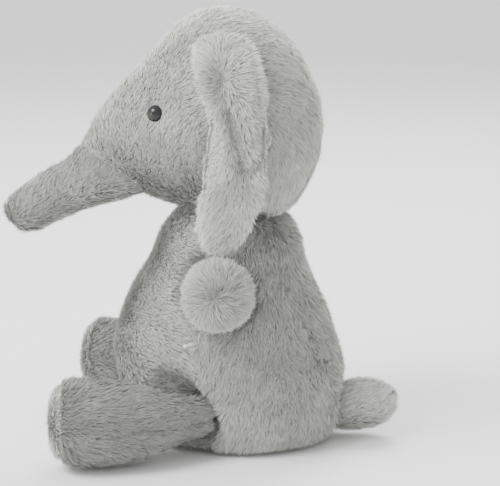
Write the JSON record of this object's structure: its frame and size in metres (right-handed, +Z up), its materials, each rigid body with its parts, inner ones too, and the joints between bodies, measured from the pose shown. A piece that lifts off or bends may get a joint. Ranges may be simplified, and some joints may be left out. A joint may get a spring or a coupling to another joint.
{
  "type": "stuffed elephant",
  "caption": "Sitting plush elephant sewn from pile fabric panels over soft stuffing, with long hanging ears, a curved trunk, round paws and feet, and plastic safety eyes.",
  "frame": {"origin": "on the flat seat, on the toy's centre plane, under the neck", "axes": "-Y is the way the toy faces, +X is the toy's left side, +Z is up"},
  "size_m": [0.2068, 0.2585, 0.2804],
  "materials": {
    "plush_grey": "short soft pile",
    "plush_light": "short soft pile, paler",
    "polyester_stuffing": "loose fibre fill",
    "pellet_bag_cloth": "woven lining cloth",
    "eye_plastic": "polished black",
    "washer_plastic": "moulded",
    "tag_plastic": "translucent nylon"
  },
  "bodies": {
    "torso": {"belly_panel": "plush_grey", "back_panel_left": "plush_grey", "back_panel_right": "plush_grey", "base_panel": "plush_grey", "body_stuffing": "polyester_stuffing", "pellet_bag": "pellet_bag_cloth", "tag_thread": "tag_plastic"},
    "neck": {"neck_stuffing": "polyester_stuffing"},
    "head": {"head_side_left": "plush_grey", "head_side_right": "plush_grey", "head_gusset": "plush_light", "chin_gusset": "plush_grey", "nape_gusset": "plush_grey", "head_stuffing": "polyester_stuffing", "eye_left": "eye_plastic", "eye_right": "eye_plastic", "eye_washer_left": "washer_plastic", "eye_washer_right": "washer_plastic"},
    "trunk": {"trunk_upper": "plush_grey", "trunk_underside": "plush_grey", "trunk_stuffing": "polyester_stuffing"},
    "ear_left": {"ear_outer_left": "plush_light", "ear_inner_left": "plush_light"},
    "ear_right": {"ear_outer_right": "plush_light", "ear_inner_right": "plush_light"},
    "arm_left": {"arm_upper_left": "plush_grey", "arm_lower_left": "plush_grey", "arm_stuffing_left": "polyester_stuffing"},
    "arm_right": {"arm_upper_right": "plush_grey", "arm_lower_right": "plush_grey", "arm_stuffing_right": "polyester_stuffing"},
    "leg_left": {"leg_upper_left": "plush_grey", "leg_lower_left": "plush_grey", "foot_sole_left": "plush_light", "leg_stuffing_left": "polyester_stuffing"},
    "leg_right": {"leg_upper_right": "plush_grey", "leg_lower_right": "plush_grey", "foot_sole_right": "plush_light", "leg_stuffing_right": "polyester_stuffing"},
    "tail": {"tail_upper": "plush_grey", "tail_lower": "plush_grey", "tail_stuffing": "polyester_stuffing"}
  },
  "joints": [
    {"name": "head_turn", "type": "hinge", "parent": "torso", "child": "neck", "pos_m": [0, -0.001, 0.112], "axis": [0, 0, 1], "range_deg": [-30, 30], "stiffness_Nm_per_rad": 1.2},
    {"name": "head_nod", "type": "hinge", "parent": "neck", "child": "head", "pos_m": [0, -0.001, 0.112], "axis": [1, 0, 0], "range_deg": [-12, 12], "stiffness_Nm_per_rad": 3},
    {"name": "trunk_bend", "type": "hinge", "parent": "head", "child": "trunk", "pos_m": [0, -0.072, 0.17], "axis": [-1, 0, 0], "range_deg": [-15, 15], "stiffness_Nm_per_rad": 0.4},
    {"name": "ear_left_flap", "type": "hinge", "parent": "head", "child": "ear_left", "pos_m": [0.041, 0, 0.267], "axis": [0, -1, 0], "range_deg": [0, 50]},
    {"name": "ear_right_flap", "type": "hinge", "parent": "head", "child": "ear_right", "pos_m": [-0.041, 0, 0.267], "axis": [0, 1, 0], "range_deg": [0, 50]},
    {"name": "arm_left_swing", "type": "hinge", "parent": "torso", "child": "arm_left", "pos_m": [0.038, -0.003, 0.108], "axis": [0, 0, -1], "range_deg": [-20, 35], "stiffness_Nm_per_rad": 0.3},
    {"name": "arm_right_swing", "type": "hinge", "parent": "torso", "child": "arm_right", "pos_m": [-0.038, -0.003, 0.108], "axis": [0, 0, 1], "range_deg": [-20, 35], "stiffness_Nm_per_rad": 0.3},
    {"name": "leg_left_lift", "type": "hinge", "parent": "torso", "child": "leg_left", "pos_m": [0.05, -0.018, 0.027], "axis": [-1, 0, 0], "range_deg": [0, 25], "stiffness_Nm_per_rad": 0.4},
    {"name": "leg_right_lift", "type": "hinge", "parent": "torso", "child": "leg_right", "pos_m": [-0.05, -0.018, 0.027], "axis": [-1, 0, 0], "range_deg": [0, 25], "stiffness_Nm_per_rad": 0.4},
    {"name": "tail_bend", "type": "hinge", "parent": "torso", "child": "tail", "pos_m": [0, 0.064, 0.0195], "axis": [1, 0, 0], "range_deg": [-15, 15], "stiffness_Nm_per_rad": 0.3}
  ]
}
